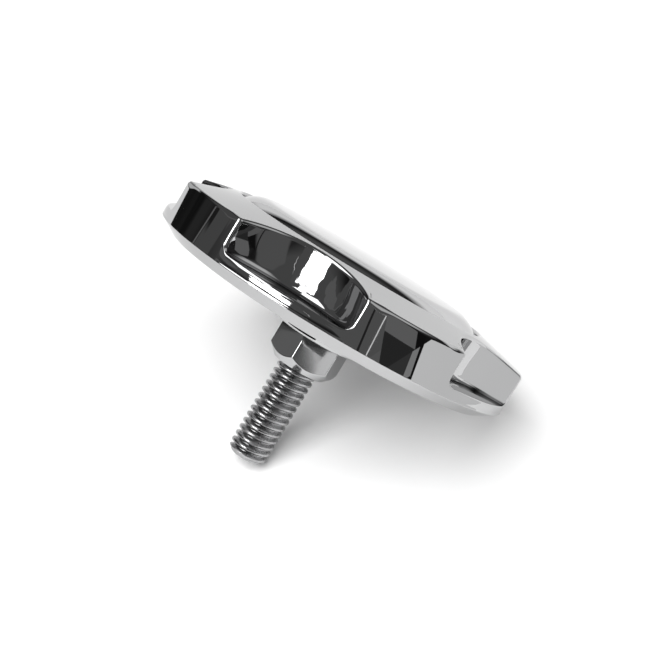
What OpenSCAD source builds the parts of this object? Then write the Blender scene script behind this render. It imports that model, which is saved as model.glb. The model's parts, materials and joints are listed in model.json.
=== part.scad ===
// Hub cover nut: a round hand nut with finger pockets, and a threaded stud on its back.
// It lies as it comes to rest on a flat surface: on the rim and on the tip of the stud.

/* [Cover body] */
// Diameter over the lobes
body_d = 73; // [70:0.5:82]
// Height of the bevel under the wall
bevel_h = 2; // [1:0.1:2.4]
// Width of the bevel under the wall, measured along the radius
bevel_w = 3.1; // [2.5:0.1:4]
// Height of the straight wall above the bevel
wall_h = 8.1; // [7.4:0.1:12]
// Rise of the crown from the wall to the rim of the recess
crown_rise = 2.4; // [1.6:0.1:4]
// Rounding of the edge between the wall and the crown
crown_round = 0.7; // [0.3:0.1:1.2]

/* [Finger pockets] */
// Number of finger pockets round the wall
pocket_count = 5; // [3:1:6]
// Radius of one finger pocket, seen from the face
pocket_r = 15; // [10:0.5:16]
// Depth of one finger pocket, measured from the lobes towards the axis
pocket_depth = 8.8; // [5:0.1:9]
// Height of the ledge that is left under a pocket, above the bevel
ledge_h = 1.9; // [1.2:0.1:3.5]
// Rounding of the lobe edges beside a pocket
lobe_round = 0.9; // [0.3:0.1:1.5]
// Rounding between the floor and the wall of a pocket
pocket_fillet = 1.3; // [0.4:0.1:1.5]
// Turn of the pockets about the axis, from the lowest point of the rim
pocket_turn = -16; // [-36:0.5:36]

/* [Recess in the face] */
// Diameter of the recess
recess_d = 51.4; // [44:0.2:52]
// Depth of the recess below its rim
recess_depth = 2.7; // [2:0.1:3.2]
// Rounding of the recess rim
rim_round = 0.5; // [0.2:0.1:0.8]

/* [Face insert] */
// Thickness of the insert at its edge
insert_t = 1.45; // [1:0.05:1.7]
// Slope of the shoulder at the edge of the insert
shoulder_slope = 50; // [30:1:70]
// Radius of the shoulder between the edge and the dome
shoulder_r = 7.5; // [5:0.1:9]
// Slope of the dome where it meets the shoulder
dome_slope = 2.5; // [1:0.5:6]
// Gap between the insert and the wall of the recess
insert_gap = 0.15; // [0.05:0.05:0.4]

/* [Back of the body] */
// Diameter of the hollow in the back
hollow_d = 49; // [36:0.5:51]
// Depth of the hollow in the back
hollow_depth = 6; // [3:0.1:6.8]
// Rounding in the corners of the hollow
hollow_round = 1.4; // [0.4:0.1:2]
// Slope of the sides of the hollow, away from the axis
hollow_draft = 4; // [1:0.5:8]
// Diameter of the boss at the bottom of the hollow
boss_base_d = 24; // [21:0.5:28]
// Diameter of the boss where it meets the lock nut
boss_end_d = 17.6; // [16:0.1:19]
// Height of the boss beyond the seating ring
boss_out = 3.9; // [2:0.1:6]
// Rounding of the boss end
boss_round = 0.6; // [0.2:0.1:0.8]

/* [Stud] */
// Major diameter of the stud thread
stud_d = 7.94; // [6.5:0.01:9]
// Length of the stud beyond the lock nut
stud_out = 19.95; // [16:0.05:25]
// Length of the stud inside the boss
stud_in = 9; // [6:0.1:10.5]
// Diameter of the stud where it is screwed in, at the core of its thread
stud_core_d = 6.4; // [5.6:0.1:6.4]
// Length of the relief between the thread and the lock nut
stud_relief = 0.5; // [0.2:0.1:1]
// Height of the chamfer at each end of the stud
stud_chamfer = 0.9; // [0.3:0.1:1.2]
// Gap between the stud and the threads that hold it
thread_gap = 0.05; // [0.02:0.01:0.15]
// Gap between the inner end of the stud and the bottom of its hole
hole_gap = 0.5; // [0.2:0.1:1.5]

/* [Lock nut] */
// Width of the lock nut across its flats
nut_af = 12.7; // [11.5:0.1:14]
// Height of the lock nut
nut_h = 6.75; // [5:0.05:8]
// Diameter of the flat end of the lock nut, inside its chamfer
nut_face_d = 10.6; // [9.6:0.1:11.2]
// Slope of the chamfer at the end of the lock nut
nut_chamfer_angle = 45; // [25:1:50]
// Turn of the lock nut about the stud, from the lowest point of the rim
nut_turn = 18.5; // [-30:0.5:30]

/* [Hidden] */
$fn = 96;
// Overshoot of a cutter past the faces that it opens
over = 1;
// Steps in a rounded corner of a section
round_steps = 5;
// Steps across the dome of the insert
dome_steps = 8;
// Steps round the shoulder of the insert
shoulder_steps = 6;

body_r = body_d / 2;
recess_r = recess_d / 2;
hollow_r = hollow_d / 2;
stud_r = stud_d / 2;
core_r = stud_core_d / 2;

// Heights along the axis, from the seating ring on the back
crown_z = bevel_h + wall_h;
rim_z = crown_z + crown_rise;
floor_z = rim_z - recess_depth;
ledge_z = bevel_h + ledge_h;
nut_end_z = -boss_out - nut_h;
tip_z = nut_end_z - stud_out;
stud_top_z = stud_in - boss_out;

seat_r = body_r - bevel_w;
tip_r = stud_r - stud_chamfer;
bore_r = core_r + thread_gap;
// Distance from the axis to the middle of a pocket
pocket_x = body_r - pocket_depth + pocket_r;

// The ground touches the section at one mark on the rim and one on the tip of the stud.
rim_marks = [[body_r, bevel_h], [seat_r, 0]];
tip_marks = [[tip_r, tip_z], [stud_r, tip_z + stud_chamfer]];
function slope(q, p) = atan2(p.y - q.y, p.x - q.x);
lean = max([for (q = tip_marks) min([for (p = rim_marks) slope(q, p)])]);
rest_h = max([for (m = concat(rim_marks, tip_marks)) m.x * sin(lean) - m.y * cos(lean)]);

// Half the angle that a pocket takes of the wall, and the turn of each pocket
pocket_half = acos((body_r ^ 2 + pocket_x ^ 2 - pocket_r ^ 2) / (2 * body_r * pocket_x));
pocket_turns = [for (i = [0:pocket_count - 1]) pocket_turn + i * 360 / pocket_count];

// The origin lies under the middle of the leaning nut, between its furthest marks along X.
low_side_is_cut = max([for (a = pocket_turns) cos(a)]) > cos(pocket_half);
lobe_reach = low_side_is_cut ? max([for (a = pocket_turns, side = [-1, 1]) cos(a + side * pocket_half)]) : 1;
front_x = lobe_reach * body_r * cos(lean) + crown_z * sin(lean);
back_x = min([for (m = concat(rim_marks, tip_marks)) m.y * sin(lean) - m.x * cos(lean)]);

function unit(v) = v / norm(v);

// Points of the arc of radius r that rounds the corner b between its neighbours a and c
function corner(a, b, c, r) =
    let (
        u = unit(a - b),
        v = unit(c - b),
        half = acos(u * v) / 2,
        centre = b + unit(u + v) * r / sin(half),
        from = b + u * r / tan(half) - centre,
        side = sign(cross(b - a, c - b)),
        step = side * (180 - 2 * half) / round_steps,
        start = atan2(from.y, from.x)
    )
    [for (i = [0:round_steps]) centre + r * [cos(start + i * step), sin(start + i * step)]];

// Closed outline through marks of the form [x, y, corner radius]
function rounded(marks) =
    let (n = len(marks), at = [for (m = marks) [m.x, m.y]])
    [for (i = [0:n - 1])
        each (marks[i].z == 0 ? [at[i]] : corner(at[(i + n - 1) % n], at[i], at[(i + 1) % n], marks[i].z))];

module at_rest() {
    translate([-(front_x + back_x) / 2, 0, rest_h]) rotate([0, lean, 0]) children();
}

// Turned blank of the body: seating ring, bevel, wall, crown, recess, hollow and boss
module blank() {
    draft = hollow_depth * tan(hollow_draft);
    rotate_extrude() polygon(rounded([
        [0, -boss_out, 0],
        [boss_end_d / 2, -boss_out, boss_round],
        [boss_base_d / 2, hollow_depth, hollow_round],
        [hollow_r - draft, hollow_depth, hollow_round],
        [hollow_r, 0, 0],
        [seat_r, 0, 0],
        [body_r, bevel_h, 0],
        [body_r, crown_z, crown_round],
        [recess_r, rim_z, rim_round],
        [recess_r, floor_z, 0],
        [0, floor_z, 0]
    ]));
}

// Plan of what the rounded lobe edges leave open, on both sides of one pocket
module lobe_edges() {
    // The rounding touches the lobes from inside and the pocket from outside.
    to_axis = body_r - lobe_round;
    to_pocket = pocket_r + lobe_round;
    round_x = (to_axis ^ 2 - to_pocket ^ 2 + pocket_x ^ 2) / (2 * pocket_x);
    round_y = sqrt(to_axis ^ 2 - round_x ^ 2);
    reach = 3 * lobe_round;
    for (side = [-1, 1]) {
        middle = [round_x, side * round_y];
        to_lobe = unit(middle);
        to_dip = unit([pocket_x, 0] - middle);
        difference() {
            polygon([
                middle,
                middle + reach * to_lobe,
                middle + reach * unit(to_lobe + to_dip),
                middle + reach * to_dip
            ]);
            translate(middle) circle(lobe_round);
        }
    }
}

// Cutter of one pocket: a filleted floor on the ledge and a straight wall up through the crown
module pocket() {
    top_z = rim_z + over;
    translate([pocket_x, 0, 0]) rotate_extrude() polygon(rounded([
        [0, ledge_z, 0],
        [pocket_r, ledge_z, pocket_fillet],
        [pocket_r, top_z, 0],
        [0, top_z, 0]
    ]));
    translate([0, 0, ledge_z]) linear_extrude(top_z - ledge_z) lobe_edges();
}

module cover_body() {
    color("gainsboro") at_rest() difference() {
        blank();
        for (turn = pocket_turns) rotate([0, 0, turn]) pocket();
        translate([0, 0, -boss_out - over]) cylinder(r = bore_r, h = stud_in + hole_gap + over);
    }
}

// Domed plate: the shoulder and the dome meet at the same slope
module face_insert() {
    edge_r = recess_r - insert_gap;
    shoulder_x = edge_r - shoulder_r * sin(shoulder_slope);
    dome_r = shoulder_r + shoulder_x / sin(dome_slope);
    shoulder_z = floor_z + insert_t - shoulder_r * cos(shoulder_slope);
    dome_z = shoulder_z - (dome_r - shoulder_r) * cos(dome_slope);
    shoulder = [for (i = [0:shoulder_steps])
        let (a = shoulder_slope + (dome_slope - shoulder_slope) * i / shoulder_steps)
        [shoulder_x + shoulder_r * sin(a), shoulder_z + shoulder_r * cos(a)]];
    dome = [for (i = [1:dome_steps])
        let (a = dome_slope * (1 - i / dome_steps))
        [dome_r * sin(a), dome_z + dome_r * cos(a)]];
    color("gainsboro") at_rest() rotate_extrude()
        polygon(concat([[0, floor_z], [edge_r, floor_z]], shoulder, dome));
}

// Plain at the major diameter outside the lock nut and at the core inside it: the thread
// is too fine for a solid
module stud() {
    thread_end_z = nut_end_z - stud_relief;
    color("darkgray") at_rest() rotate_extrude() polygon([
        [0, tip_z],
        [tip_r, tip_z],
        [stud_r, tip_z + stud_chamfer],
        [stud_r, thread_end_z],
        [core_r, thread_end_z],
        [core_r, stud_top_z - stud_chamfer],
        [core_r - stud_chamfer, stud_top_z],
        [0, stud_top_z]
    ]);
}

module lock_nut() {
    corner_r = nut_af / 2 / cos(30);
    // The cone of the chamfer runs on past the corners that it cuts.
    cone_r = corner_r + over;
    cone_h = (cone_r - nut_face_d / 2) * tan(nut_chamfer_angle);
    color("gainsboro") at_rest() difference() {
        intersection() {
            translate([0, 0, nut_end_z]) rotate([0, 0, nut_turn]) cylinder(r = corner_r, h = nut_h, $fn = 6);
            rotate_extrude() polygon([
                [0, nut_end_z],
                [nut_face_d / 2, nut_end_z],
                [cone_r, nut_end_z + cone_h],
                [cone_r, -boss_out],
                [0, -boss_out]
            ]);
        }
        translate([0, 0, nut_end_z - over]) cylinder(r = bore_r, h = nut_h + 2 * over);
    }
}

cover_body();
face_insert();
stud();
lock_nut();
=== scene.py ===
import json
import math

import bmesh
import bpy
import numpy as np
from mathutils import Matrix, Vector


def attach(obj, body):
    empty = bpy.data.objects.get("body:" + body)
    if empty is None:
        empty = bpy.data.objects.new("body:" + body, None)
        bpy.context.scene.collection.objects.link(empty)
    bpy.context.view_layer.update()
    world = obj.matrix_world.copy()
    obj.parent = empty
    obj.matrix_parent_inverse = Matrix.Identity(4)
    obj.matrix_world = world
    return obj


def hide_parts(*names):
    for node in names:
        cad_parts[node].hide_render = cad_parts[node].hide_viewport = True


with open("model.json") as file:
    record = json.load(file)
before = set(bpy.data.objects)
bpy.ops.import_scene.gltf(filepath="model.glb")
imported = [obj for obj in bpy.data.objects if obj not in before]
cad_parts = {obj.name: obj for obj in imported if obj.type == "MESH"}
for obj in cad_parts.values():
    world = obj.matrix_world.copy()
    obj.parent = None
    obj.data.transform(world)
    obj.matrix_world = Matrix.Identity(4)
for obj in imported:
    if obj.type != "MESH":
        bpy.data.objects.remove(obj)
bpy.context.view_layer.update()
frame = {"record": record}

MM = 0.001

# ---------------------------------------------------------------- frame of the nut
# The nut's own frame: origin on the seating plane, z along the axis and out of the face.
mounts = {m["name"]: m for m in frame["record"]["mounts"]}
AXIS = -Vector(mounts["stud_thread"]["axis"]).normalized()
SIDE = Vector((0, 1, 0))
DOWN = SIDE.cross(AXIS)
pin_at = Vector(mounts["stud_thread"]["pos_m"])
seat_from_pin = Vector(mounts["seating_ring"]["pos_m"]) - pin_at
SEAT = pin_at + AXIS * seat_from_pin.dot(AXIS)
NUT_TO_WORLD = np.array([DOWN, SIDE, AXIS])

# ---------------------------------------------------------------- sizes in millimetres
BODY_R, BEVEL_H, SEAT_R = 36.5, 2.0, 33.4
WALL_H, CROWN_RISE, CROWN_ROUND = 8.1, 2.4, 0.7
POCKETS, POCKET_R, POCKET_DEPTH = 5, 15.0, 8.8
LEDGE_H, LOBE_ROUND, POCKET_FILLET, POCKET_TURN = 1.9, 0.9, 1.3, -16.0
RECESS_R, RECESS_DEPTH, RIM_ROUND = 25.7, 2.7, 0.5
HOLLOW_R, HOLLOW_DEPTH, HOLLOW_ROUND, HOLLOW_DRAFT = 24.5, 6.0, 1.4, 4.0
BOSS_BASE_R, BOSS_END_R, BOSS_OUT, BOSS_ROUND = 12.0, 8.8, 3.9, 0.6
STUD_R, STUD_OUT, STUD_IN, STUD_CHAMFER, CORE_R = 3.97, 19.95, 9.0, 0.9, 3.2
PITCH, THREAD_DEPTH = 1.411, 0.82
NUT_AF, NUT_H, NUT_FACE_R, NUT_TURN = 12.7, 6.75, 5.3, 18.5
INSERT_T, SHOULDER_SLOPE, SHOULDER_R, DOME_SLOPE, INSERT_GAP = 1.45, 50.0, 7.5, 2.5, 0.15

# finer shapes that only the skins have
EDGE_ROUND, WALL_HOLLOW = 0.55, 0.2
BAND_ROUND, BAND_FADE, BAND_FOOT = 3.0, 0.8, 0.2
CROWN_WIDEN, WIDEN_PAST, WIDEN_SPAN, CROWN_LEAD = 0.9, 2.0, 1.4, 0.1
BEVEL_EDGE, SEAT_EDGE, HOLLOW_EDGE, BEVEL_LEAD = 0.16, 0.2, 0.25, 0.5
BORE_GAP, BORE_SPARE = 0.05, 0.5
INSERT_FOOT, INSERT_EDGE = 0.1, 0.12
THREAD_HIDDEN, CHAMFER_SOFT, CHAMFER_REACH = 2.0, 0.05, 0.2
NUT_CORNER_R, NUT_SOFT = 0.35, 0.07
NUT_BORE_GAP, NUT_BORE_CHAMFER, NUT_BORE_ROUND, NUT_MOUTH_ROUND = 0.06, 0.45, 0.1, 0.06
NUT_FACE_ROUND, NUT_FACE_LEAD, NUT_REST_GAP = 0.12, 0.05, 0.4

CROWN_Z = BEVEL_H + WALL_H
RIM_Z = CROWN_Z + CROWN_RISE
FLOOR_Z = RIM_Z - RECESS_DEPTH
LEDGE_Z = BEVEL_H + LEDGE_H
NUT_END_Z = -BOSS_OUT - NUT_H
TIP_Z = NUT_END_Z - STUD_OUT
STUD_TOP_Z = STUD_IN - BOSS_OUT
POCKET_X = BODY_R - POCKET_DEPTH + POCKET_R
CROWN_SLOPE = CROWN_RISE / (BODY_R - RECESS_R)
SECTOR = 2 * math.pi / POCKETS


def crown_z(r):
    """Height of the crown's cone at radius r."""
    return RIM_Z - (r - RECESS_R) * CROWN_SLOPE


# ---------------------------------------------------------------- mesh helpers
def unit(v):
    v = np.asarray(v, float)
    return v / np.linalg.norm(v)


def unit_rows(xy):
    return xy / np.linalg.norm(xy, axis=1)[:, None]


def angles(xy):
    return np.unwrap(np.arctan2(xy[:, 1], xy[:, 0]))


def rounded(marks, steps=7, loop=0.07):
    """Points of an open line through (x, y, radius) marks, with support points beside corners."""
    at = [np.array(m[:2], float) for m in marks]
    out = [at[0]]
    for i in range(1, len(marks) - 1):
        r = marks[i][2]
        u, v = unit(at[i - 1] - at[i]), unit(at[i + 1] - at[i])
        if r == 0:
            out += [at[i] + u * loop, at[i], at[i] + v * loop]
            continue
        half = math.acos(max(-1, min(1, u @ v))) / 2
        centre = at[i] + unit(u + v) * r / math.sin(half)
        cut = r / math.tan(half)
        start, end = at[i] + u * cut - centre, at[i] + v * cut - centre
        a0 = math.atan2(start[1], start[0])
        sweep = (math.atan2(end[1], end[0]) - a0 + math.pi) % (2 * math.pi) - math.pi
        out.append(at[i] + u * (cut + loop))
        for k in range(steps + 1):
            a = a0 + sweep * k / steps
            out.append(centre + r * np.array([math.cos(a), math.sin(a)]))
        out.append(at[i] + v * (cut + loop))
    out.append(at[-1])
    return np.array(out)


def link_object(name, data):
    """New object of the scene with the given mesh, light or camera."""
    obj = bpy.data.objects.new(name, data)
    bpy.context.scene.collection.objects.link(obj)
    return obj


def make_piece(name, verts, faces, node, slot, merge=0.002):
    """A closed smooth piece from points in the nut's own frame, in millimetres."""
    mesh = bpy.data.meshes.new(name)
    world = (np.asarray(verts) @ NUT_TO_WORLD) * MM + np.array(SEAT)
    mesh.from_pydata(world.tolist(), [], faces)
    bm = bmesh.new()
    bm.from_mesh(mesh)
    bmesh.ops.remove_doubles(bm, verts=bm.verts, dist=merge * MM)
    bmesh.ops.dissolve_degenerate(bm, edges=bm.edges, dist=merge * MM * 0.5)
    bmesh.ops.recalc_face_normals(bm, faces=bm.faces)
    bm.to_mesh(mesh)
    bm.free()
    mesh.validate()
    mesh.shade_smooth()
    obj = link_object(name, mesh)
    weigh = obj.modifiers.new("weighted", "WEIGHTED_NORMAL")
    weigh.mode = "FACE_AREA"
    weigh.weight = 50
    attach(obj, "root")
    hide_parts(node)
    return obj


def bridge(first, count, steps):
    """Faces between rings of count vertices each, the first ring starting at vertex first."""
    faces = []
    for i in range(steps):
        a, b = first + i * count, first + (i + 1) * count
        for j in range(count):
            k = (j + 1) % count
            faces.append((a + j, a + k, b + k, b + j))
    return faces


def loft(rings):
    """Vertices and faces of a closed skin through rings of points, from pole to pole."""
    count = len(rings[0])
    verts = [r for ring in rings for r in ring]
    faces = bridge(0, count, len(rings) - 1)
    verts += [rings[0].mean(0), rings[-1].mean(0)]
    base = (len(rings) - 1) * count
    for j in range(count):
        k = (j + 1) % count
        faces.append((len(verts) - 2, k, j))
        faces.append((len(verts) - 1, base + j, base + k))
    return np.array(verts), faces


def ring_at(xy, z):
    """Ring of points from plan points and one height or one height each."""
    return np.column_stack([xy, np.broadcast_to(z, len(xy))])


def circles(section, theta):
    """Rings of a turned section over the given angles."""
    plan = np.column_stack([np.cos(theta), np.sin(theta)])
    return [ring_at(plan * r, z) for r, z in section]


# ---------------------------------------------------------------- cover body
# radii of the rings in the recess's floor
RECESS_FLAT = (6, 14, 20, 24)
# shares of the way at which wall, ledge and band have their rings
WALL_SHARES = (0.02, 0.2, 0.4, 0.6, 0.8, 0.985)
LEDGE_SHARES = (0.03, 0.35, 0.7, 0.97, 1)
BAND_SHARES = (0.2, 0.4, 0.6, 0.8, 1)


def body_outline(lobe_steps=18, round_steps=9, pocket_steps=44):
    """Plan points of the wall and their outward normals, once round."""
    to_axis, to_pocket = BODY_R - LOBE_ROUND, POCKET_R + LOBE_ROUND
    cx = (to_axis ** 2 - to_pocket ** 2 + POCKET_X ** 2) / (2 * POCKET_X)
    cy = math.sqrt(to_axis ** 2 - cx ** 2)
    lobe_at = math.atan2(cy, cx)
    dip_at = math.atan2(cy, POCKET_X - cx)
    parts = []

    def arc(centre, radius, a0, a1, steps, inside=False):
        a = np.linspace(a0, a1, steps, endpoint=False)
        n = np.column_stack([np.cos(a), np.sin(a)])
        parts.append((np.array(centre) + (-radius if inside else radius) * n, n))

    arc((cx, -cy), LOBE_ROUND, -lobe_at, dip_at, round_steps)
    arc((POCKET_X, 0), POCKET_R, dip_at, -dip_at, pocket_steps, inside=True)
    arc((cx, cy), LOBE_ROUND, -dip_at, lobe_at, round_steps)
    arc((0, 0), BODY_R, lobe_at, SECTOR - lobe_at, lobe_steps)
    plan = np.vstack([p for p, _ in parts])
    normal = np.vstack([n for _, n in parts])
    points, normals = [], []
    for k in range(POCKETS):
        t = math.radians(POCKET_TURN) + k * SECTOR
        turn = np.array([[math.cos(t), math.sin(t)], [-math.sin(t), math.cos(t)]])
        points.append(plan @ turn)
        normals.append(normal @ turn)
    return np.vstack(points), np.vstack(normals)


def crown_rings(plan, normal, start, crown_steps=8, edge_steps=10):
    """Rings from the one at the rim, start, to the top of the wall, and the heights of that top.

    The crown's edge is an arc between the wall and the sloping crown along the whole outline. It
    is wider on the lobes just before they end.
    """
    radius = np.linalg.norm(plan, axis=1)
    turned = angles(plan) - math.radians(POCKET_TURN)
    off = np.abs((turned + SECTOR / 2) % SECTOR - SECTOR / 2)
    past = (off - off[radius > BODY_R - 1e-6].min()) * BODY_R
    widen = np.exp(-((past - WIDEN_PAST) / WIDEN_SPAN) ** 2)
    round_r = CROWN_ROUND * (1 + CROWN_WIDEN * widen)
    tan_a = CROWN_SLOPE * (normal * unit_rows(plan)).sum(1)
    alpha = np.arctan(tan_a)
    wall_top = crown_z(radius)
    arc_z = wall_top + round_r * tan_a - round_r / np.cos(alpha)

    def crown_ring(w, z):
        xy = plan - normal * w[:, None]
        lift = crown_z(np.linalg.norm(xy, axis=1)) - (wall_top + w * tan_a)
        return ring_at(xy, z + lift * np.clip(w / round_r, 0, 1))

    inner = round_r * (1 - np.sin(alpha)) + CROWN_LEAD
    first = crown_ring(inner, wall_top + inner * tan_a)
    rings = []
    for t in np.linspace(0, 1, crown_steps + 1)[1:-1]:
        xy = start[:, :2] * (1 - t) + first[:, :2] * t
        rings.append(ring_at(xy, crown_z(np.linalg.norm(xy, axis=1))))
    rings.append(first)
    for k in range(edge_steps + 1):
        phi = math.pi / 2 + alpha + (math.pi / 2 - alpha) * k / edge_steps
        w = round_r * (1 + np.cos(phi))
        rings.append(crown_ring(w, arc_z + round_r * np.sin(phi)))
    return rings, arc_z


def wall_rings(plan, normal, top_z, fillet_steps=8, edge_steps=7):
    """Rings of wall, fillet, ledge, its rounded edge and the band, and the band's plan points.

    The ledge ends at the round outline. Beside a lobe the outline cuts the fillet short, so the
    opening's lower corners are round.
    """
    radius = np.linalg.norm(plan, axis=1)
    along = (plan * normal).sum(1)
    width = np.sqrt(along ** 2 + BODY_R ** 2 - radius ** 2) - along
    width[width < 1e-4] = 0
    turn = np.arccos(1 - np.clip(width / POCKET_FILLET, 0, 1))
    bend = POCKET_FILLET * turn
    reach = bend + np.clip(width - POCKET_FILLET, 0, None)
    cut = EDGE_ROUND * np.tan(turn / 2)

    def ledge_line(s):
        """Distance from the wall and height at length s along the fillet and the ledge."""
        phi = np.minimum(s, bend) / POCKET_FILLET
        w = POCKET_FILLET * (1 - np.cos(phi)) + np.clip(s - bend, 0, None)
        return w, LEDGE_Z + POCKET_FILLET * (1 - np.sin(phi))

    def ledge_ring(w, z):
        return ring_at(plan + normal * w[:, None], z)

    def barrel(xy, z, share=1.0):
        """The band under the ledge bulges a little, and is straight under the lobes."""
        sink = share * fade * (z - (LEDGE_Z + BEVEL_H) / 2) ** 2 / (2 * BAND_ROUND)
        return ring_at(xy - sink[:, None] * unit_rows(xy), z)

    rings = []
    foot = LEDGE_Z + POCKET_FILLET
    for t in WALL_SHARES:
        sink = WALL_HOLLOW * 4 * t * (1 - t) * np.tanh(width)
        rings.append(ledge_ring(-sink, top_z * (1 - t) + foot * t))
    stop = np.clip(reach - cut, 0, None)
    for k in range(fillet_steps + 1):
        rings.append(ledge_ring(*ledge_line(np.minimum(bend * k / fillet_steps, stop))))
    begin = np.minimum(bend, stop)
    for t in LEDGE_SHARES:
        rings.append(ledge_ring(*ledge_line(begin + (stop - begin) * t)))

    # the ledge's edge is a quadratic curve from w0, z0 by way of w1, z1 down the band
    w0, z0 = ledge_line(stop)
    w1, z1 = ledge_line(reach)
    fade = np.tanh(BAND_FADE * width)
    band_plan = plan + normal * width[:, None]
    for k in range(1, edge_steps + 1):
        t = k / edge_steps
        w = (1 - t) ** 2 * w0 + (2 * t - t * t) * w1
        z = (1 - t) ** 2 * z0 + 2 * t * (1 - t) * z1 + t * t * (z1 - cut)
        rings.append(barrel(plan + normal * w[:, None], z, t))
    low, high = BEVEL_H + BAND_FOOT, z1 - cut
    for t in BAND_SHARES:
        rings.append(barrel(band_plan, high * (1 - t) + low * t))
    return rings, band_plan


def cover_body():
    """One skin from the middle of the recess over rim, crown and wall to the end of the bore."""
    plan, normal = body_outline()
    theta = angles(plan)
    rings = circles([(r, FLOOR_Z) for r in RECESS_FLAT], theta)
    rim = rounded([(RECESS_R, FLOOR_Z, 0), (RECESS_R, RIM_Z, RIM_ROUND), (BODY_R, CROWN_Z, 0)])
    rings += circles(rim[:-1], theta)
    crown, top_z = crown_rings(plan, normal, rings[-1])
    wall, band_plan = wall_rings(plan, normal, top_z)
    rings += crown + wall

    # bevel, seating ring, hollow, boss and bore
    draft = HOLLOW_DEPTH * math.tan(math.radians(HOLLOW_DRAFT))
    bore_r, bore_z = STUD_R + BORE_GAP, STUD_TOP_Z + BORE_SPARE
    back = rounded([
        (BODY_R, BEVEL_H + BEVEL_LEAD, 0),
        (BODY_R, BEVEL_H, BEVEL_EDGE),
        (SEAT_R, 0, SEAT_EDGE),
        (HOLLOW_R, 0, HOLLOW_EDGE),
        (HOLLOW_R - draft, HOLLOW_DEPTH, HOLLOW_ROUND),
        (BOSS_BASE_R, HOLLOW_DEPTH, HOLLOW_ROUND),
        (BOSS_END_R, -BOSS_OUT, BOSS_ROUND),
        (bore_r, -BOSS_OUT, 0),
        (bore_r, bore_z, 0),
        (1.0, bore_z, 0),
    ])
    rings += circles(back[1:], angles(band_plan))
    return make_piece("cover_body_skin", *loft(rings), "cover_body", "chrome")


# ---------------------------------------------------------------- insert
# radii of the rings in its flat underside
INSERT_FLAT = (1, 12, 22)


def face_insert(steps=160, shoulder_steps=18, dome_steps=25):
    """Plate with a rounded shoulder that runs into a very flat dome."""
    edge_r = RECESS_R - INSERT_GAP
    shoulder, dome = math.radians(SHOULDER_SLOPE), math.radians(DOME_SLOPE)
    shoulder_x = edge_r - SHOULDER_R * math.sin(shoulder)
    dome_r = SHOULDER_R + shoulder_x / math.sin(dome)
    shoulder_z = FLOOR_Z + INSERT_T - SHOULDER_R * math.cos(shoulder)
    dome_z = shoulder_z - (dome_r - SHOULDER_R) * math.cos(dome)
    section = [(r, FLOOR_Z) for r in (*INSERT_FLAT, edge_r - INSERT_FOOT)]
    section += [(edge_r, FLOOR_Z + INSERT_FOOT), (edge_r, FLOOR_Z + INSERT_T - INSERT_EDGE)]
    for k in range(shoulder_steps + 1):
        a = shoulder + (dome - shoulder) * k / shoulder_steps
        x = shoulder_x + SHOULDER_R * math.sin(a)
        section.append((x, shoulder_z + SHOULDER_R * math.cos(a)))
    for k in range(1, dome_steps):
        a = dome * (1 - k / dome_steps)
        section.append((dome_r * math.sin(a), dome_z + dome_r * math.cos(a)))
    theta = np.linspace(0, 2 * math.pi, steps, endpoint=False)
    return make_piece("face_insert_skin", *loft(circles(section, theta)), "face_insert", "insert")


# ---------------------------------------------------------------- threaded stud
# marks in pitches from a crest, and the share of the thread's depth there
THREAD_MARKS = [0, 0.06, 0.11, 0.15, 0.19, 0.39, 0.43, 0.46, 0.5]
THREAD_SINK = [0, 0.004, 0.016, 0.045, 0.12, 0.88, 0.96, 0.992, 1]
# rows of points over one pitch, closest at crest and root
THREAD_ROWS = np.array([0, 0.06, 0.11, 0.15, 0.19, 0.25, 0.32, 0.39, 0.43, 0.46, 0.5,
                        0.54, 0.57, 0.61, 0.68, 0.75, 0.81, 0.85, 0.89, 0.94])
# the slight dish in the stud's end: share of the tip's radius, and height above the tip
TIP_DISH = [(0.93, 0.0), (0.9, 0.03), (0.5, 0.12), (0.1, 0.14)]


def thread_radius(u):
    """Radius of the thread at u pitches from a crest, rounded at crest and root."""
    u = np.abs((np.asarray(u, float) + 0.5) % 1 - 0.5)
    return STUD_R - THREAD_DEPTH * np.interp(u, THREAD_MARKS, THREAD_SINK)


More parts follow.
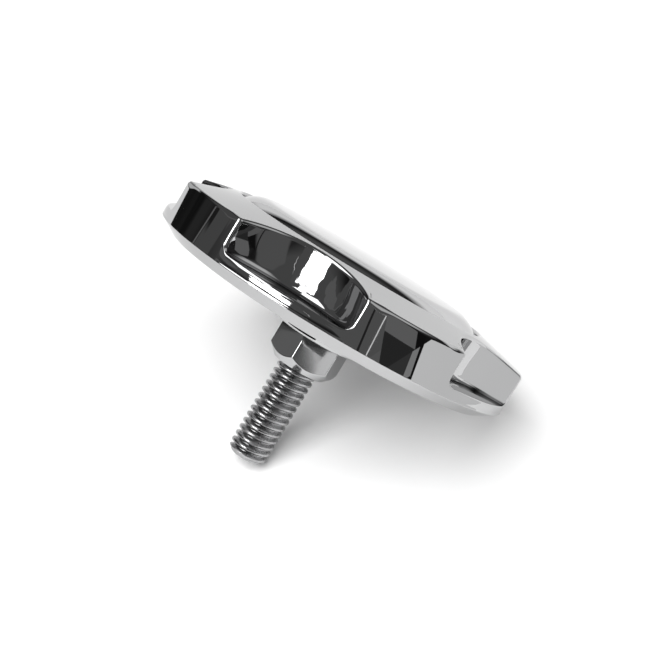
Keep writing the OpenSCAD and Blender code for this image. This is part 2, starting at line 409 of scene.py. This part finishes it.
def stud(columns=72):
    """Stud with a real helix: each column of points is shifted by its share of the pitch.

    The rows start 1.5 pitches below the tip and end past the top, and are clamped to the two.
    """
    top_z = NUT_END_Z + THREAD_HIDDEN
    turns = int((top_z - TIP_Z) / PITCH) + 3
    marks = (np.arange(turns)[:, None] + THREAD_ROWS[None, :]).ravel() - 1.5
    rows = len(marks)
    phi = np.linspace(0, 2 * math.pi, columns, endpoint=False)
    thread = np.zeros((columns, rows, 3))
    for j, a in enumerate(phi):
        lead = a / (2 * math.pi)
        z = np.clip(TIP_Z + PITCH * (marks + lead), TIP_Z, top_z)
        r = thread_radius((z - TIP_Z) / PITCH - lead)
        cone = STUD_R - STUD_CHAMFER + (z - TIP_Z)
        ease = CHAMFER_SOFT * np.exp(-np.abs(r - cone) / CHAMFER_SOFT)
        r = np.minimum(r, cone) - ease * (cone < STUD_R + CHAMFER_REACH)
        r = np.where(z >= top_z - 1e-9, CORE_R, r)
        thread[j] = np.column_stack([r * np.cos(a), r * np.sin(a), z])

    # the last column meets the first one a pitch further on; the rows that this leaves over
    # all lie at the tip or at the top
    faces = []
    for j in range(columns):
        last = j == columns - 1
        k, shift = (0, len(THREAD_ROWS)) if last else (j + 1, 0)
        here, there = j * rows, k * rows + shift
        for i in range(rows - 1 - shift):
            faces.append((here + i, there + i, there + i + 1, here + i + 1))

    def lid(first):
        return tuple(first + j for j in range(columns))

    tip = [thread[:, 0]]
    for share, dish in TIP_DISH:
        ring = tip[0].copy()
        ring[:, :2] *= share
        ring[:, 2] = TIP_Z + dish
        tip.append(ring)
    tip_at = columns * rows
    faces += [(a, d, c, b) for a, b, c, d in bridge(tip_at, columns, len(tip) - 1)]
    faces.append(lid(tip_at + (len(tip) - 1) * columns))

    # plain core inside the nut and the boss
    core = circles([(CORE_R, top_z), (CORE_R, STUD_TOP_Z - STUD_CHAMFER),
                    (CORE_R - STUD_CHAMFER, STUD_TOP_Z), (0.5, STUD_TOP_Z)], phi)
    core_at = tip_at + len(tip) * columns
    faces += bridge(core_at, columns, len(core) - 1)
    faces.append(lid(core_at + (len(core) - 1) * columns))
    verts = np.vstack([thread.reshape(-1, 3)] + tip + core)
    return make_piece("stud_thread_skin", verts, faces, "stud", "stud_steel", merge=0.001)


# ---------------------------------------------------------------- lock nut
# shares of the way at which the chamfer and the sides have their rings
NUT_CHAMFER_SHARES, NUT_SIDE_SHARES = (0.3, 0.6, 0.9), (0, 0.33, 0.66)
# inset and drop of the rings round the end that rests on the boss
NUT_REST_RINGS = ((0, 0.12), (0.1, 0.02), (0.3, 0))
NUT_SIDE_END, NUT_EDGE = 0.15, 0.02


def hexagon(flat_steps=12, corner_steps=6):
    """Plan points of a hexagon with rounded corners."""
    half, thirty = NUT_AF / 2, math.radians(30)
    to_centre = half / math.cos(thirty) - NUT_CORNER_R / math.cos(thirty)
    side_half = half * math.tan(thirty) - NUT_CORNER_R * math.tan(thirty)
    plan = []
    for k in range(6):
        at = math.radians(NUT_TURN + 60 * k)
        centre = to_centre * np.array([math.cos(at), math.sin(at)])
        for i in range(corner_steps + 1):
            a = at + math.radians(-30 + 60 * i / corner_steps)
            plan.append(centre + NUT_CORNER_R * np.array([math.cos(a), math.sin(a)]))
        n = at + thirty
        outward = np.array([math.cos(n), math.sin(n)])
        along = np.array([-math.sin(n), math.cos(n)])
        for i in range(1, flat_steps):
            s = -side_half + 2 * side_half * i / flat_steps
            plan.append(half * outward + s * along)
    return np.array(plan)


def lock_nut():
    """One skin round the bore, the free face, the sides and the face on the boss."""
    plan = hexagon()
    radius = np.linalg.norm(plan, axis=1)
    theta, radial = angles(plan), plan / radius[:, None]
    bore_r = STUD_R + NUT_BORE_GAP
    hole = rounded([
        (bore_r, -BOSS_OUT, 0),
        (bore_r, NUT_END_Z + NUT_BORE_CHAMFER, NUT_BORE_ROUND),
        (STUD_R + NUT_BORE_CHAMFER, NUT_END_Z, NUT_MOUTH_ROUND),
        (NUT_FACE_R, NUT_END_Z, NUT_FACE_ROUND),
        (NUT_FACE_R + 1, NUT_END_Z + 1, 0),
    ], steps=4, loop=0.03)[:-1]
    rings = circles(hole, theta)

    # the corners' chamfer is a cone of 45 degrees, as far as it meets the six sides
    meet = NUT_END_Z + np.clip(radius - NUT_FACE_R, NUT_FACE_LEAD, None)
    face_z = hole[-1][1]
    heights = [face_z + (meet - NUT_SOFT - face_z) * t for t in NUT_CHAMFER_SHARES]
    for z in heights + [meet - NUT_SOFT, meet - NUT_SOFT / 2]:
        rings.append(ring_at(radial * (NUT_FACE_R + (z - NUT_END_Z))[:, None], z))
    rings.append(ring_at(plan - radial * NUT_EDGE, meet + NUT_EDGE / 2))
    rings.append(ring_at(plan, meet + NUT_SOFT))
    side_z = meet + NUT_SOFT * 2
    for t in NUT_SIDE_SHARES:
        rings.append(ring_at(plan, side_z * (1 - t) + (-BOSS_OUT - NUT_SIDE_END) * t))
    for inset, drop in NUT_REST_RINGS:
        rings.append(ring_at(plan - radial * inset, -BOSS_OUT - drop))
    rings += circles([(STUD_R + NUT_REST_GAP, -BOSS_OUT)], theta)
    rings.append(rings[0])
    verts, faces = loft(rings)
    faces = [f for f in faces if len(f) == 4]
    return make_piece("lock_nut_skin", verts[:-2], faces, "lock_nut", "nut_chrome")


pieces = {"body": cover_body(), "insert": face_insert(), "stud": stud(), "nut": lock_nut()}


# ---------------------------------------------------------------- node helpers
def add(tree, kind, **values):
    """New node with its properties set."""
    node = tree.nodes.new(kind)
    for key, value in values.items():
        setattr(node, key, value)
    return node


def maths(tree, operation, a, b=None):
    """Math node over sockets or numbers."""
    node = add(tree, "ShaderNodeMath", operation=operation)
    for i, x in enumerate((a, b)):
        if isinstance(x, (int, float)):
            node.inputs[i].default_value = x
        elif x is not None:
            tree.links.new(x, node.inputs[i])
    return node.outputs[0]


def noise(tree, coord, scale, detail=2.0):
    node = add(tree, "ShaderNodeTexNoise")
    node.inputs["Scale"].default_value = scale
    node.inputs["Detail"].default_value = detail
    tree.links.new(coord, node.inputs["Vector"])
    return node


def spread(tree, value, low, high, from_low=0.3, from_high=0.7, **values):
    """Value mapped from the range from_low, from_high to the range low, high."""
    node = add(tree, "ShaderNodeMapRange", **values)
    node.inputs["From Min"].default_value = from_low
    node.inputs["From Max"].default_value = from_high
    node.inputs["To Min"].default_value = low
    node.inputs["To Max"].default_value = high
    tree.links.new(value, node.inputs["Value"])
    return node.outputs["Result"]


def material(name):
    """New material with only its output; its tree and the output's socket."""
    mat = bpy.data.materials.new(name)
    mat.use_nodes = True
    mat.node_tree.nodes.clear()
    out = add(mat.node_tree, "ShaderNodeOutputMaterial")
    return mat, mat.node_tree, out.inputs["Surface"]


# ---------------------------------------------------------------- metals
# tone of the plating seen edge on, and how much finer roughness is mottled than tone
EDGE_TINT, POLISH_SCALE = 0.72, 2.3


def metal(name, dark, light, rough, mottle=60, bumps=()):
    """Metal of slightly uneven tone and roughness; bumps are pairs of noise scale and strength."""
    mat, tree, surface = material(name)
    bsdf = add(tree, "ShaderNodeBsdfPrincipled")
    bsdf.inputs["Metallic"].default_value = 1.0
    bsdf.inputs["Specular Tint"].default_value = (EDGE_TINT, EDGE_TINT, EDGE_TINT, 1)
    tree.links.new(bsdf.outputs[0], surface)
    coord = add(tree, "ShaderNodeTexCoord").outputs["Object"]
    mix = add(tree, "ShaderNodeMix", data_type="RGBA")
    for socket in mix.inputs:
        if socket.type == "RGBA":
            socket.default_value = (*(dark if socket.name == "A" else light), 1)
    tone = spread(tree, noise(tree, coord, mottle, detail=3).outputs["Fac"], 0, 1)
    tree.links.new(tone, mix.inputs["Factor"])
    colour = [o for o in mix.outputs if o.type == "RGBA"][0]
    tree.links.new(colour, bsdf.inputs["Base Color"])
    polish = noise(tree, coord, mottle * POLISH_SCALE, detail=4).outputs["Fac"]
    tree.links.new(spread(tree, polish, *rough), bsdf.inputs["Roughness"])
    carrier = bsdf
    for scale, strength in reversed(bumps):
        bump = add(tree, "ShaderNodeBump")
        bump.inputs["Strength"].default_value = strength
        bump.inputs["Distance"].default_value = MM
        tree.links.new(noise(tree, coord, scale).outputs["Fac"], bump.inputs["Height"])
        tree.links.new(bump.outputs["Normal"], carrier.inputs["Normal"])
        carrier = bump
    return mat


METALS = {
    "body": metal("chrome_plate", (0.53, 0.532, 0.536), (0.55, 0.552, 0.556), (0.015, 0.035),
                  bumps=[(70, 0.02)]),
    "insert": metal("insert_plate", (0.60, 0.60, 0.605), (0.63, 0.63, 0.635), (0.04, 0.07),
                    bumps=[(50, 0.02)]),
    "stud": metal("stud_steel", (0.38, 0.38, 0.385), (0.48, 0.48, 0.485), (0.22, 0.32),
                  mottle=220, bumps=[(400, 0.02), (2500, 0.015)]),
    "nut": metal("nut_chrome", (0.52, 0.522, 0.526), (0.55, 0.552, 0.556), (0.05, 0.08),
                 mottle=90),
}
for key, mat in METALS.items():
    pieces[key].data.materials.append(mat)

# ---------------------------------------------------------------- floor and side cards
FLOOR_GLOW, FLOOR_R, FLOOR_WHITE = 0.06, 0.355, 0.93


def floor(size, count=96):
    """Round white floor, wide enough for the view and its reflections.

    A little glow, for the camera and for reflections only, brings its lit part to white.
    """
    turn = 2 * math.pi / count
    ring = [(size * math.cos(turn * k), size * math.sin(turn * k), 0) for k in range(count)]
    mesh = bpy.data.meshes.new("floor")
    mesh.from_pydata(ring, [], [tuple(range(count))])
    obj = link_object("floor", mesh)
    mat, tree, surface = material("floor_white")
    both = add(tree, "ShaderNodeAddShader")
    diffuse = add(tree, "ShaderNodeBsdfDiffuse")
    diffuse.inputs["Color"].default_value = (FLOOR_WHITE, FLOOR_WHITE, FLOOR_WHITE, 1)
    glow = add(tree, "ShaderNodeEmission")
    path = add(tree, "ShaderNodeLightPath")
    seen = maths(tree, "MAXIMUM", path.outputs["Is Camera Ray"], path.outputs["Is Glossy Ray"])
    tree.links.new(maths(tree, "MULTIPLY", seen, FLOOR_GLOW), glow.inputs["Strength"])
    tree.links.new(diffuse.outputs[0], both.inputs[0])
    tree.links.new(glow.outputs[0], both.inputs[1])
    tree.links.new(both.outputs[0], surface)
    mesh.materials.append(mat)


floor(FLOOR_R)

# y, then x and z of the four corners in millimetres, and brightness of each card
SIDE_CARDS = [
    (-50, [(-19.5, 28), (30, 28), (30, 42.5), (-13.5, 42.5)], 0.85),
    (-50, [(-16, 12), (30, 12), (30, 28), (-16, 28)], 0.85),
    (-50, [(-19, 37), (-16.6, 37), (-14.6, 42.5), (-16.6, 42.5)], 0.30),
    (-50, [(-34, 37), (-19, 37), (-16.6, 42.5), (-34, 42.5)], 0.05),
    (-50, [(-26.5, 42.5), (-16, 42.5), (-16, 42.6), (-26.5, 52.5)], 0.03),
    (-50, [(-26.5, 52.5), (-16, 42.6), (-15, 62), (-26.5, 62)], 0.17),
    (-50, [(-36, 42.5), (-26.5, 42.5), (-26.5, 48), (-34, 48)], 0.14),
    (-50, [(-38, 25), (-20, 25), (-17, 36.3), (-27, 36.3)], 0.85),
    (-50, [(-46, 50), (-37.8, 50), (-37.8, 84), (-46, 84)], 0.12),
    (-50, [(-37.6, 48), (-36.4, 48), (-30, 65), (-31.2, 65)], 0.02),
    (60, [(-54, 34), (-43, 34), (-43, 52), (-54, 52)], 0.17),
]


def side_cards():
    """Upright cards beside the nut that only its reflections show."""
    for i, (y, corners, level) in enumerate(SIDE_CARDS):
        mesh = bpy.data.meshes.new(f"side_card_{i}")
        mesh.from_pydata([(x * MM, y * MM, z * MM) for x, z in corners], [], [(0, 1, 2, 3)])
        obj = link_object(mesh.name, mesh)
        obj.visible_camera = obj.visible_diffuse = obj.visible_shadow = False
        mat, tree, surface = material(mesh.name)
        glow = add(tree, "ShaderNodeEmission")
        glow.inputs["Strength"].default_value = level
        tree.links.new(glow.outputs[0], surface)
        mesh.materials.append(mat)


side_cards()


# ---------------------------------------------------------------- surroundings
def direction(azimuth, elevation):
    a, e = math.radians(azimuth), math.radians(elevation)
    return Vector((math.cos(e) * math.cos(a), math.cos(e) * math.sin(a), math.sin(e)))


# far cards seen from the nut: azimuth, elevation, half width, half height, softness, strength,
# and whether its edges are uneven; widths and heights at distance 1
CARDS = [
    (178, 39, 0.24, 0.19, 0.05, 6.5, True),
    (178, 68, 0.10, 0.32, 0.10, 3.2, True),
    (105, 68, 0.45, 0.26, 0.10, 2.4, False),
    (114, 15, 0.008, 0.32, 0.4, 0.17, False),
    (75, 3, 0.20, 0.16, 0.20, 0.75, False),
    (-115, 14, 0.004, 0.32, 0.25, 1.05, False),
    (-152, 37, 0.006, 0.12, 0.3, 0.75, True),
    (-119, 12, 0.30, 0.50, 0.15, 0.12, False),
    (-160, 38, 0.10, 0.30, 0.20, 0.10, True),
    (121, 20, 0.10, 0.40, 0.10, 0.09, True),
    (130, 34, 0.28, 0.11, 0.15, 0.14, True),
    (-48, 44, 0.42, 0.33, 0.5, 0.65, True),
]
# cards stronger than LAMP_CARD are capped, in a first reflection and in a second one
LAMP_CARD, FIRST_CAP, SECOND_CAP, SECOND_DEPTH = 2, 10, 0.5, (1.4, 1.6)
# white backdrop: azimuth of its middle, cosines of its side edges, sines of its top edge
BACKDROP_AT, BACKDROP_SIDE, BACKDROP_TOP = 10, (0.60, 0.75), (0.09, 0.26)
# dark room: brightness of its blots, scale and range of their noise
ROOM, ROOM_SCALE, ROOM_RANGE = (0.008, 0.03), 2.5, (0.4, 0.65)
# its upper part: brightness, and sines of the elevations between which it comes up
UPPER_ROOM, UPPER_EDGE = 0.09, (0.28, 0.5)
# plain light for everything but the camera and reflections
AMBIENT = 0.22
# uneven edges: how far directions are pushed about, and the scale of that
WARP, WARP_SCALE = 0.17, 8.0
# a card is only drawn where the cosine to its middle is above this
CARD_FACING = 0.05


def card_group():
    """Node group: how much a direction meets a soft-edged rectangular card."""
    group = bpy.data.node_groups.new("card", "ShaderNodeTree")
    kinds = {"Vector": ("Direction", "Centre", "Right", "Up"),
             "Float": ("Width", "Height", "Softness")}
    for kind, names in kinds.items():
        for name in names:
            group.interface.new_socket(name=name, in_out="INPUT", socket_type="NodeSocket" + kind)
    group.interface.new_socket(name="Amount", in_out="OUTPUT", socket_type="NodeSocketFloat")
    given, out = add(group, "NodeGroupInput"), add(group, "NodeGroupOutput")

    def towards(name):
        node = add(group, "ShaderNodeVectorMath", operation="DOT_PRODUCT")
        group.links.new(given.outputs["Direction"], node.inputs[0])
        group.links.new(given.outputs[name], node.inputs[1])
        return node.outputs["Value"]

    ahead = towards("Centre")
    amount = maths(group, "GREATER_THAN", ahead, CARD_FACING)
    depth = maths(group, "MAXIMUM", ahead, CARD_FACING)
    for name, size in (("Right", "Width"), ("Up", "Height")):
        off = maths(group, "ABSOLUTE", maths(group, "DIVIDE", towards(name), depth))
        over = maths(group, "SUBTRACT", off, given.outputs[size])
        soft = maths(group, "MULTIPLY", given.outputs["Softness"], given.outputs[size])
        share = maths(group, "DIVIDE", over, soft)
        inside = spread(group, share, 1.0, 0.0, -1.0, 1.0, interpolation_type="SMOOTHSTEP")
        amount = maths(group, "MULTIPLY", amount, inside)
    group.links.new(amount, out.inputs["Amount"])
    return group


def uneven_direction(tree, plain):
    """The direction pushed about a little, so that no card that uses it has a ruled edge."""
    blot = noise(tree, plain, WARP_SCALE, detail=2.5)
    push = add(tree, "ShaderNodeVectorMath", operation="MULTIPLY_ADD")
    tree.links.new(blot.outputs["Color"], push.inputs[0])
    push.inputs[1].default_value = (WARP, WARP, WARP)
    push.inputs[2].default_value = (-WARP / 2, -WARP / 2, -WARP / 2)
    warped = add(tree, "ShaderNodeVectorMath", operation="ADD")
    tree.links.new(plain, warped.inputs[0])
    tree.links.new(push.outputs[0], warped.inputs[1])
    return warped.outputs[0]


def surroundings():
    """World that is white to the camera, a studio in reflections, and plain light otherwise."""
    world = bpy.data.worlds.new("studio")
    bpy.context.scene.world = world
    world.use_nodes = True
    tree = world.node_tree
    tree.nodes.clear()
    out = add(tree, "ShaderNodeOutputWorld")
    ground = add(tree, "ShaderNodeBackground")
    ground.inputs["Color"].default_value = (1, 1, 1, 1)
    tree.links.new(ground.outputs[0], out.inputs["Surface"])
    plain = add(tree, "ShaderNodeTexCoord").outputs["Generated"]
    way = uneven_direction(tree, plain)
    path = add(tree, "ShaderNodeLightPath")
    camera_ray, glossy_ray = path.outputs["Is Camera Ray"], path.outputs["Is Glossy Ray"]
    split = add(tree, "ShaderNodeSeparateXYZ")
    tree.links.new(plain, split.inputs[0])
    height = split.outputs["Z"]

    # a white backdrop low behind the nut, a dark room elsewhere
    behind = add(tree, "ShaderNodeVectorMath", operation="DOT_PRODUCT")
    tree.links.new(plain, behind.inputs[0])
    behind.inputs[1].default_value = direction(BACKDROP_AT, 0)
    sweep = spread(tree, behind.outputs["Value"], 0, 1, *BACKDROP_SIDE)
    total = maths(tree, "MULTIPLY", sweep, spread(tree, height, 1, 0, *BACKDROP_TOP))
    blots = noise(tree, way, ROOM_SCALE, detail=3).outputs["Fac"]
    total = maths(tree, "MAXIMUM", total, spread(tree, blots, *ROOM, *ROOM_RANGE))
    upper = spread(tree, height, 0, UPPER_ROOM, *UPPER_EDGE)
    total = maths(tree, "MAXIMUM", total, upper)

    cap = spread(tree, path.outputs["Glossy Depth"], FIRST_CAP, SECOND_CAP, *SECOND_DEPTH)
    group = card_group()
    for azimuth, elevation, width, tall, soft, strength, uneven in CARDS:
        centre = direction(azimuth, elevation)
        right = Vector((-centre.y, centre.x, 0)).normalized()
        node = add(tree, "ShaderNodeGroup", node_tree=group)
        tree.links.new(way if uneven else plain, node.inputs["Direction"])
        values = {"Centre": centre, "Right": right, "Up": centre.cross(right),
                  "Width": width, "Height": tall, "Softness": soft}
        for name, value in values.items():
            node.inputs[name].default_value = value
        card = maths(tree, "MULTIPLY", node.outputs["Amount"], strength)
        total = maths(tree, "MAXIMUM", total, card)
        if strength > LAMP_CARD:
            total = maths(tree, "MINIMUM", total, cap)
    seen = maths(tree, "ADD", maths(tree, "MULTIPLY", glossy_ray, total), camera_ray)
    rest = maths(tree, "SUBTRACT", 1.0, maths(tree, "MAXIMUM", camera_ray, glossy_ray))
    level = maths(tree, "ADD", seen, maths(tree, "MULTIPLY", rest, AMBIENT))
    tree.links.new(level, ground.inputs["Strength"])


surroundings()

# ---------------------------------------------------------------- lamps
CENTRE = Vector((0, 0, 0.028))


def lamp(name, azimuth, elevation, distance, size, watts):
    """Square lamp that looks at the nut and that no reflection shows."""
    data = bpy.data.lights.new(name, "AREA")
    data.shape = "SQUARE"
    data.size = size
    data.energy = watts
    obj = link_object(name, data)
    obj.location = CENTRE + direction(azimuth, elevation) * distance
    obj.rotation_euler = (CENTRE - obj.location).to_track_quat("-Z", "Y").to_euler()
    obj.visible_glossy = False


lamp("key", 190, 62, 2.5, 2.0, 78.0)
lamp("fill", -40, 30, 2.5, 1.5, 12.0)

# ---------------------------------------------------------------- camera
CAM_AZIMUTH, CAM_ELEVATION, CAM_DISTANCE = -132.91, 40.84, 0.220
CAM_PAN, CAM_TILT, CAM_NEAR = 0.14, 0.27, 0.01
FOCAL_PX, PHOTO_PX, SENSOR = 1166.9, 650, 36.0
cam = bpy.data.cameras.new("camera")
cam.sensor_width = SENSOR
cam.lens = FOCAL_PX / PHOTO_PX * SENSOR
cam.clip_start = CAM_NEAR
camera = link_object("camera", cam)
camera.location = SEAT + direction(CAM_AZIMUTH, CAM_ELEVATION) * CAM_DISTANCE
look = -direction(CAM_AZIMUTH + CAM_PAN, CAM_ELEVATION + CAM_TILT)
camera.rotation_euler = look.to_track_quat("-Z", "Y").to_euler()
bpy.context.scene.camera = camera
bpy.context.scene.view_settings.view_transform = "Standard"
